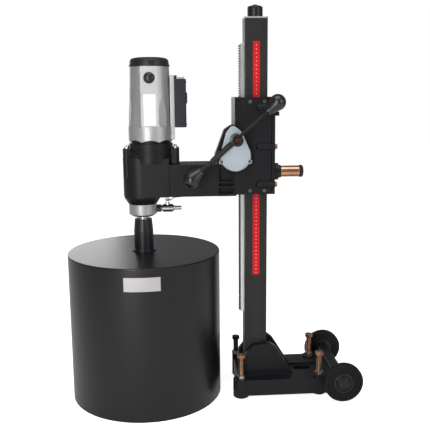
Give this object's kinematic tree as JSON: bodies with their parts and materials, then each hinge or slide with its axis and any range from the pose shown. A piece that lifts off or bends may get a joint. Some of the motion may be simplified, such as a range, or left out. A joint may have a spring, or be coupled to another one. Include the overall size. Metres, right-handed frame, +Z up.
{
  "type": "core drill rig",
  "caption": "Core drilling rig: a square column with a rack on a wheeled base, a hand cranked carriage, and an upright geared motor with water feed that turns a wide core bit.",
  "frame": {"origin": "on the floor under the column's axis, in the plane of the base's four feet", "axes": "+Z up the column, +X towards the transport wheels and away from the core bit, -Y on the crank's side"},
  "size_m": [0.7665, 0.4006, 1.02],
  "materials": {
    "black_casting": "cast aluminium with satin black powder coat",
    "black_anodised": "black anodised extrusion",
    "bright_steel": "machined steel",
    "red_strip": "printed strip",
    "zinc_yellow": "yellow zinc plating",
    "dark_steel": "blackened steel",
    "black_rubber": "solid rubber",
    "black_plastic": "moulded plastic",
    "gloss_black": "glossy phenolic",
    "silver_casting": "silver painted die casting",
    "silver_plate": "satin plate",
    "white_label": "blank label",
    "bronze": "bearing bronze",
    "copper_grip": "polished copper coloured tube",
    "nylon": "slide pad plastic",
    "iron_core": "laminated iron and windings",
    "bit_black": "semi gloss black paint",
    "chrome": "nickel plated brass",
    "lever_red": "dark red dipped steel"
  },
  "bodies": {
    "stand": {"base_casting": "black_casting", "column": "black_anodised", "column_end_plate": "silver_casting", "rack": "bright_steel", "rack_screws": "dark_steel", "scale_strip": "red_strip", "axle": "dark_steel", "levelling_lock_nuts": "bright_steel"},
    "wheel_near": {"wheel_tyre_near": "black_rubber", "wheel_hub_near": "black_plastic"},
    "wheel_far": {"wheel_tyre_far": "black_rubber", "wheel_hub_far": "black_plastic"},
    "level_front_near": {"levelling_bolt_front_near": "zinc_yellow"},
    "level_front_far": {"levelling_bolt_front_far": "dark_steel"},
    "level_rear_near": {"levelling_bolt_rear_near": "zinc_yellow"},
    "level_rear_far": {"levelling_bolt_rear_far": "zinc_yellow"},
    "jack": {"jack_screw": "dark_steel"},
    "carriage": {"carriage_casting": "black_casting", "carriage_rear_plate": "black_casting", "carriage_bolts": "zinc_yellow", "slide_pads": "nylon", "carriage_screws": "bright_steel", "feed_gear_case": "black_casting", "feed_gear_cover": "silver_plate", "feed_bushes": "bronze", "arm": "black_casting", "drill_bracket": "black_casting", "gearbox_housing": "black_casting", "gearbox_plate": "black_casting", "gearbox_bolts": "bright_steel", "bearings": "bright_steel", "motor_ring": "silver_casting", "motor_shell": "silver_casting", "motor_cap": "black_plastic", "motor_label": "white_label", "stator": "iron_core", "brush_holders": "bronze", "brush_caps": "gloss_black", "switch_bracket": "silver_casting", "switch_box": "black_plastic", "cable_gland": "black_plastic", "water_collar": "silver_casting", "valve_body": "chrome", "hose_nipple": "chrome"},
    "pinion": {"feed_pinion": "bright_steel", "feed_gear": "bright_steel"},
    "crank": {"crank_shaft": "bright_steel", "crank_bar": "dark_steel", "crank_knobs": "gloss_black"},
    "lock": {"lock_screw": "dark_steel", "lock_grip": "copper_grip"},
    "rocker": {"switch_rocker": "gloss_black"},
    "valve": {"valve_stem": "chrome", "valve_lever": "lever_red"},
    "rotor": {"armature": "iron_core"},
    "layshaft": {"intermediate_gear": "bright_steel"},
    "drill_spindle": {"spindle": "bright_steel", "bit_adapter": "dark_steel", "core_bit": "bit_black", "bit_label": "silver_plate"}
  },
  "joints": [
    {"name": "carriage_slide", "type": "slide", "parent": "stand", "child": "carriage", "axis": [0, 0, 1], "range_m": [-0.38, 0.188]},
    {"name": "pinion_spin", "type": "hinge", "parent": "carriage", "child": "pinion", "pos_m": [-0.058, 0, 0.646], "axis": [0, 1, 0], "continuous": true},
    {"name": "crank_spin", "type": "hinge", "parent": "carriage", "child": "crank", "pos_m": [-0.058, 0, 0.688], "axis": [0, 1, 0], "continuous": true},
    {"name": "lock_turn", "type": "hinge", "parent": "carriage", "child": "lock", "pos_m": [0.06, 0, 0.597], "axis": [1, 0, 0], "range_deg": [0, 180]},
    {"name": "rocker_tilt", "type": "hinge", "parent": "carriage", "child": "rocker", "pos_m": [-0.179, 0, 0.79], "axis": [0, 1, 0], "range_deg": [-6, 6]},
    {"name": "valve_turn", "type": "hinge", "parent": "carriage", "child": "valve", "pos_m": [-0.231, 0, 0.505], "axis": [0, 0, 1], "range_deg": [0, 90]},
    {"name": "spindle_spin", "type": "hinge", "parent": "carriage", "child": "drill_spindle", "pos_m": [-0.2955, 0, 0.45], "axis": [0, 0, 1], "continuous": true},
    {"name": "layshaft_spin", "type": "hinge", "parent": "carriage", "child": "layshaft", "pos_m": [-0.27459, 0.02151, 0.62], "axis": [0, 0, 1], "continuous": true},
    {"name": "rotor_spin", "type": "hinge", "parent": "carriage", "child": "rotor", "pos_m": [-0.27, 0, 0.7], "axis": [0, 0, 1], "continuous": true},
    {"name": "wheel_near_spin", "type": "hinge", "parent": "stand", "child": "wheel_near", "pos_m": [0.219, -0.124, 0.053], "axis": [0, 1, 0], "continuous": true},
    {"name": "wheel_far_spin", "type": "hinge", "parent": "stand", "child": "wheel_far", "pos_m": [0.219, 0.124, 0.053], "axis": [0, 1, 0], "continuous": true},
    {"name": "jack_screw_lift", "type": "slide", "parent": "stand", "child": "jack", "axis": [0, 0, 1], "range_m": [0, 0.045]},
    {"name": "level_front_near_travel", "type": "slide", "parent": "stand", "child": "level_front_near", "axis": [0, 0, 1], "range_m": [-0.03, 0.01]},
    {"name": "level_front_far_travel", "type": "slide", "parent": "stand", "child": "level_front_far", "axis": [0, 0, 1], "range_m": [-0.03, 0.01]},
    {"name": "level_rear_near_travel", "type": "slide", "parent": "stand", "child": "level_rear_near", "axis": [0, 0, 1], "range_m": [-0.03, 0.01]},
    {"name": "level_rear_far_travel", "type": "slide", "parent": "stand", "child": "level_rear_far", "axis": [0, 0, 1], "range_m": [-0.03, 0.01]}
  ],
  "couplings": [
    {"joint": "pinion_spin", "follows": "carriage_slide", "rad_per_m": 58.824},
    {"joint": "crank_spin", "follows": "carriage_slide", "rad_per_m": -176.47},
    {"joint": "layshaft_spin", "follows": "spindle_spin", "ratio": -3},
    {"joint": "rotor_spin", "follows": "spindle_spin", "ratio": 10.2}
  ]
}
